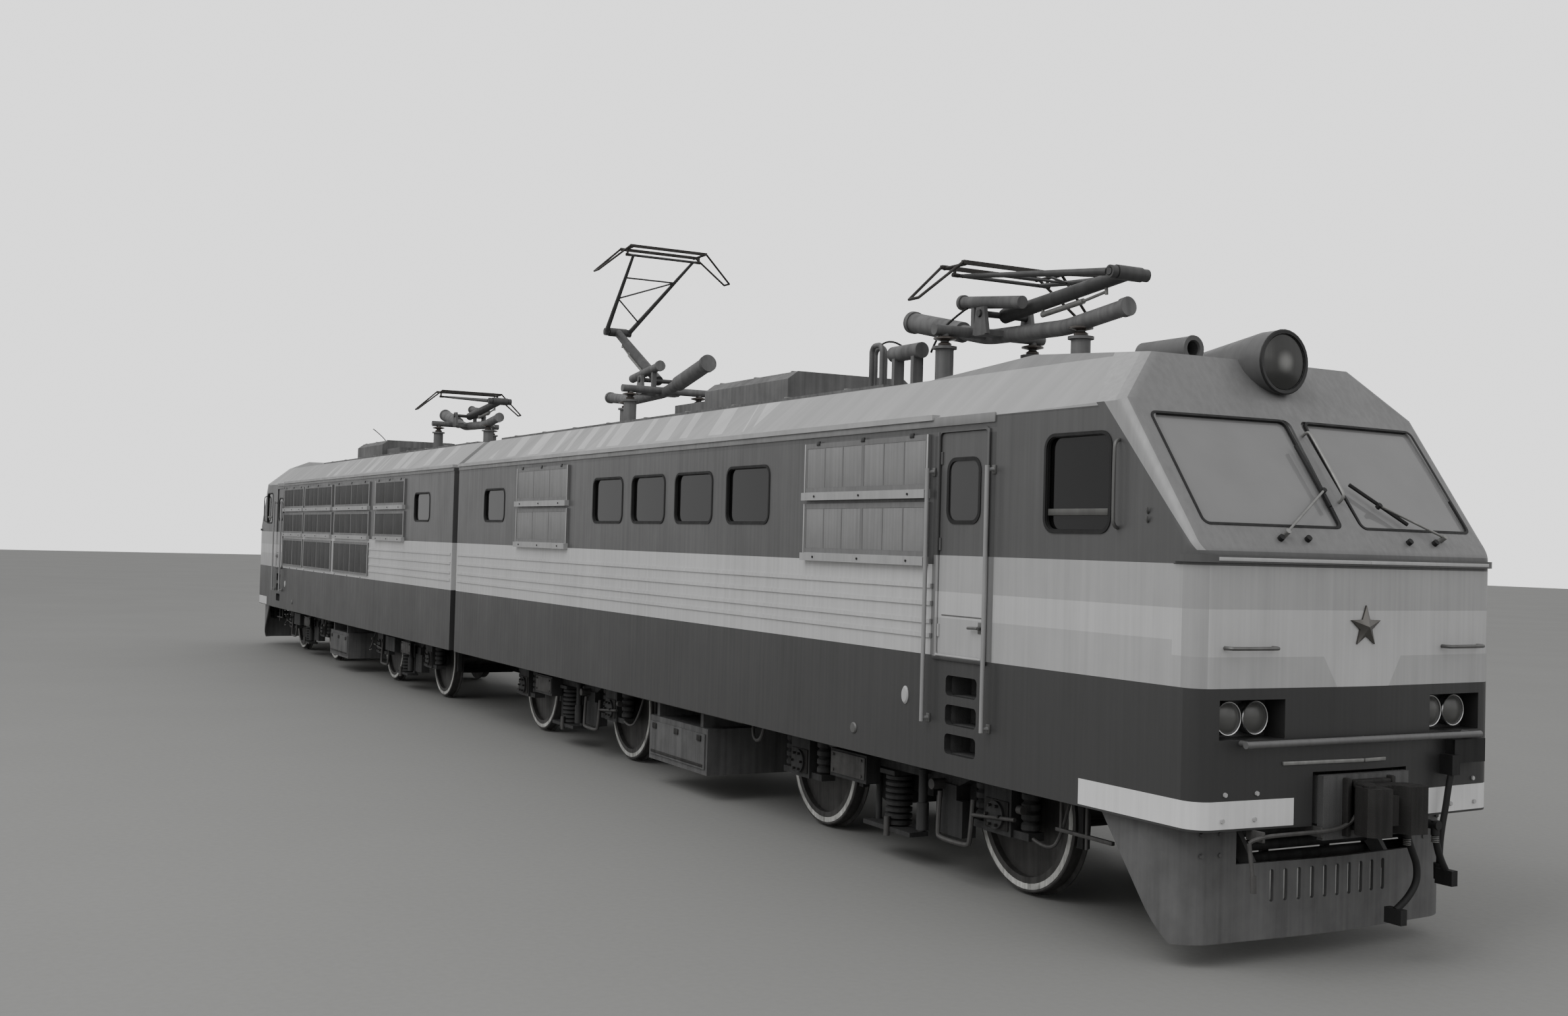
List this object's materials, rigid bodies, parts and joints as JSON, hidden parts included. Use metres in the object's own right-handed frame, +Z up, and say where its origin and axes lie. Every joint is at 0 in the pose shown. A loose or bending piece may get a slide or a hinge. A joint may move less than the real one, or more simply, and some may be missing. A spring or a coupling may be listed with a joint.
{
  "type": "two-section electric locomotive",
  "caption": "Two-section high-speed electric locomotive with a raked nose, bogies, doors and single-arm pantographs that move.",
  "frame": {"origin": "on the floor under the wheel flanges, midway between the two sections, 28 mm below the rail's top", "axes": "+X forward to the leading cab, +Y to its left, +Z up"},
  "size_m": [33.08, 3.1258, 6.6498],
  "materials": {
    "bogie_paint": "matt",
    "copper_steel": "satin",
    "arm_paint": "satin",
    "side_paint": "satin",
    "rubber": "matt",
    "nose_paint": "satin",
    "cast_steel": "matt",
    "grille_paint": "satin",
    "window_glass": "gloss",
    "rail_steel": "satin",
    "interior_paint": "matt",
    "lamp_paint": "gloss",
    "plough_paint": "satin",
    "roof_paint": "satin",
    "roof_equipment": "satin",
    "frame_paint": "matt",
    "wheel_steel": "satin"
  },
  "bodies": {
    "front_section": {"front_body_sides": "side_paint", "front_brake_hoses": "rubber", "front_cab_nose": "nose_paint", "front_coupler": "cast_steel", "front_filter_grilles": "grille_paint", "front_gangway": "rubber", "front_glazing": "window_glass", "front_handrails": "rail_steel", "front_interior": "interior_paint", "front_lamps": "lamp_paint", "front_plough": "plough_paint", "front_roof": "roof_paint", "front_roof_gear": "roof_equipment", "front_underframe": "frame_paint"},
    "rear_section": {"rear_body_sides": "side_paint", "rear_brake_hoses": "rubber", "rear_cab_nose": "nose_paint", "rear_coupler": "cast_steel", "rear_filter_grilles": "grille_paint", "rear_gangway": "rubber", "rear_glazing": "window_glass", "rear_handrails": "rail_steel", "rear_interior": "interior_paint", "rear_lamps": "lamp_paint", "rear_plough": "plough_paint", "rear_roof": "roof_paint", "rear_roof_gear": "roof_equipment", "rear_underframe": "frame_paint"},
    "front_door_right": {"front_door_right": "side_paint"},
    "front_door_left": {"front_door_left": "side_paint"},
    "rear_door_right": {"rear_door_right": "side_paint"},
    "rear_door_left": {"rear_door_left": "side_paint"},
    "bogie_1": {"bogie_1_frame": "bogie_paint", "bogie_1_axleboxes_springs": "bogie_paint"},
    "wheelset_1a": {"wheelset_1a": "wheel_steel"},
    "wheelset_1b": {"wheelset_1b": "wheel_steel"},
    "bogie_2": {"bogie_2_frame": "bogie_paint", "bogie_2_axleboxes_springs": "bogie_paint"},
    "wheelset_2a": {"wheelset_2a": "wheel_steel"},
    "wheelset_2b": {"wheelset_2b": "wheel_steel"},
    "bogie_3": {"bogie_3_frame": "bogie_paint", "bogie_3_axleboxes_springs": "bogie_paint"},
    "wheelset_3a": {"wheelset_3a": "wheel_steel"},
    "wheelset_3b": {"wheelset_3b": "wheel_steel"},
    "bogie_4": {"bogie_4_frame": "bogie_paint", "bogie_4_axleboxes_springs": "bogie_paint"},
    "wheelset_4a": {"wheelset_4a": "wheel_steel"},
    "wheelset_4b": {"wheelset_4b": "wheel_steel"},
    "first_pantograph_lower_arm": {"first_pantograph_lower_arm": "arm_paint"},
    "first_pantograph_upper_arm": {"first_pantograph_upper_arm": "arm_paint"},
    "first_pantograph_contact_head": {"first_pantograph_contact_head": "copper_steel"},
    "second_pantograph_lower_arm": {"second_pantograph_lower_arm": "arm_paint"},
    "second_pantograph_upper_arm": {"second_pantograph_upper_arm": "arm_paint"},
    "second_pantograph_contact_head": {"second_pantograph_contact_head": "copper_steel"},
    "third_pantograph_lower_arm": {"third_pantograph_lower_arm": "arm_paint"},
    "third_pantograph_upper_arm": {"third_pantograph_upper_arm": "arm_paint"},
    "third_pantograph_contact_head": {"third_pantograph_contact_head": "copper_steel"}
  },
  "joints": [
    {"name": "section_hinge", "type": "hinge", "parent": "front_section", "child": "rear_section", "pos_m": [0, 0, 1.088], "axis": [0, 0, 1], "range_deg": [-2, 2]},
    {"name": "front_door_right_hinge", "type": "hinge", "parent": "front_section", "child": "front_door_right", "pos_m": [13.199, -1.424, 2.778], "axis": [0, 0, 1], "range_deg": [0, 85]},
    {"name": "front_door_left_hinge", "type": "hinge", "parent": "front_section", "child": "front_door_left", "pos_m": [13.199, 1.424, 2.778], "axis": [0, 0, -1], "range_deg": [0, 85]},
    {"name": "rear_door_right_hinge", "type": "hinge", "parent": "rear_section", "child": "rear_door_right", "pos_m": [-13.199, 1.424, 2.778], "axis": [0, 0, 1], "range_deg": [0, 85]},
    {"name": "rear_door_left_hinge", "type": "hinge", "parent": "rear_section", "child": "rear_door_left", "pos_m": [-13.199, -1.424, 2.778], "axis": [0, 0, -1], "range_deg": [0, 85]},
    {"name": "bogie_1_yaw", "type": "hinge", "parent": "front_section", "child": "bogie_1", "pos_m": [12, 0, 0.653], "axis": [0, 0, 1], "range_deg": [-3, 3]},
    {"name": "wheelset_1a_spin", "type": "hinge", "parent": "bogie_1", "child": "wheelset_1a", "pos_m": [13.6, 0, 0.653], "axis": [0, 1, 0], "continuous": true},
    {"name": "wheelset_1b_spin", "type": "hinge", "parent": "bogie_1", "child": "wheelset_1b", "pos_m": [10.4, 0, 0.653], "axis": [0, 1, 0], "continuous": true},
    {"name": "bogie_2_yaw", "type": "hinge", "parent": "front_section", "child": "bogie_2", "pos_m": [4, 0, 0.653], "axis": [0, 0, 1], "range_deg": [-3, 3]},
    {"name": "wheelset_2a_spin", "type": "hinge", "parent": "bogie_2", "child": "wheelset_2a", "pos_m": [5.6, 0, 0.653], "axis": [0, 1, 0], "continuous": true},
    {"name": "wheelset_2b_spin", "type": "hinge", "parent": "bogie_2", "child": "wheelset_2b", "pos_m": [2.4, 0, 0.653], "axis": [0, 1, 0], "continuous": true},
    {"name": "bogie_3_yaw", "type": "hinge", "parent": "rear_section", "child": "bogie_3", "pos_m": [-4, 0, 0.653], "axis": [0, 0, 1], "range_deg": [-3, 3]},
    {"name": "wheelset_3a_spin", "type": "hinge", "parent": "bogie_3", "child": "wheelset_3a", "pos_m": [-2.4, 0, 0.653], "axis": [0, 1, 0], "continuous": true},
    {"name": "wheelset_3b_spin", "type": "hinge", "parent": "bogie_3", "child": "wheelset_3b", "pos_m": [-5.6, 0, 0.653], "axis": [0, 1, 0], "continuous": true},
    {"name": "bogie_4_yaw", "type": "hinge", "parent": "rear_section", "child": "bogie_4", "pos_m": [-12, 0, 0.653], "axis": [0, 0, 1], "range_deg": [-3, 3]},
    {"name": "wheelset_4a_spin", "type": "hinge", "parent": "bogie_4", "child": "wheelset_4a", "pos_m": [-10.4, 0, 0.653], "axis": [0, 1, 0], "continuous": true},
    {"name": "wheelset_4b_spin", "type": "hinge", "parent": "bogie_4", "child": "wheelset_4b", "pos_m": [-13.6, 0, 0.653], "axis": [0, 1, 0], "continuous": true},
    {"name": "first_pantograph_lift", "type": "hinge", "parent": "front_section", "child": "first_pantograph_lower_arm", "pos_m": [12, 0, 4.888], "axis": [0, -1, 0], "range_deg": [0, 39]},
    {"name": "first_pantograph_knee", "type": "hinge", "parent": "first_pantograph_lower_arm", "child": "first_pantograph_upper_arm", "pos_m": [13.69217, 0, 5.05094], "axis": [0, -1, 0], "range_deg": [-78, 0]},
    {"name": "first_pantograph_head_pivot", "type": "hinge", "parent": "first_pantograph_upper_arm", "child": "first_pantograph_contact_head", "pos_m": [11.94028, 0, 5.21963], "axis": [0, -1, 0], "range_deg": [0, 39]},
    {"name": "second_pantograph_lift", "type": "hinge", "parent": "front_section", "child": "second_pantograph_lower_arm", "pos_m": [4.2, 0, 4.888], "axis": [0, 1, 0], "range_deg": [-23, 16]},
    {"name": "second_pantograph_knee", "type": "hinge", "parent": "second_pantograph_lower_arm", "child": "second_pantograph_upper_arm", "pos_m": [2.70601, 0, 5.69917], "axis": [0, 1, 0], "range_deg": [-32, 46]},
    {"name": "second_pantograph_head_pivot", "type": "hinge", "parent": "second_pantograph_upper_arm", "child": "second_pantograph_contact_head", "pos_m": [4.25273, 0, 6.53897], "axis": [0, 1, 0], "range_deg": [-23, 16]},
    {"name": "third_pantograph_lift", "type": "hinge", "parent": "rear_section", "child": "third_pantograph_lower_arm", "pos_m": [-4.2, 0, 4.888], "axis": [0, -1, 0], "range_deg": [0, 39]},
    {"name": "third_pantograph_knee", "type": "hinge", "parent": "third_pantograph_lower_arm", "child": "third_pantograph_upper_arm", "pos_m": [-2.50783, 0, 5.05094], "axis": [0, -1, 0], "range_deg": [-78, 0]},
    {"name": "third_pantograph_head_pivot", "type": "hinge", "parent": "third_pantograph_upper_arm", "child": "third_pantograph_contact_head", "pos_m": [-4.25972, 0, 5.21963], "axis": [0, -1, 0], "range_deg": [0, 39]}
  ],
  "couplings": [
    {"joint": "first_pantograph_knee", "follows": "first_pantograph_lift", "ratio": -2},
    {"joint": "first_pantograph_head_pivot", "follows": "first_pantograph_lift", "ratio": 1},
    {"joint": "second_pantograph_knee", "follows": "second_pantograph_lift", "ratio": -2},
    {"joint": "second_pantograph_head_pivot", "follows": "second_pantograph_lift", "ratio": 1},
    {"joint": "third_pantograph_knee", "follows": "third_pantograph_lift", "ratio": -2},
    {"joint": "third_pantograph_head_pivot", "follows": "third_pantograph_lift", "ratio": 1}
  ]
}
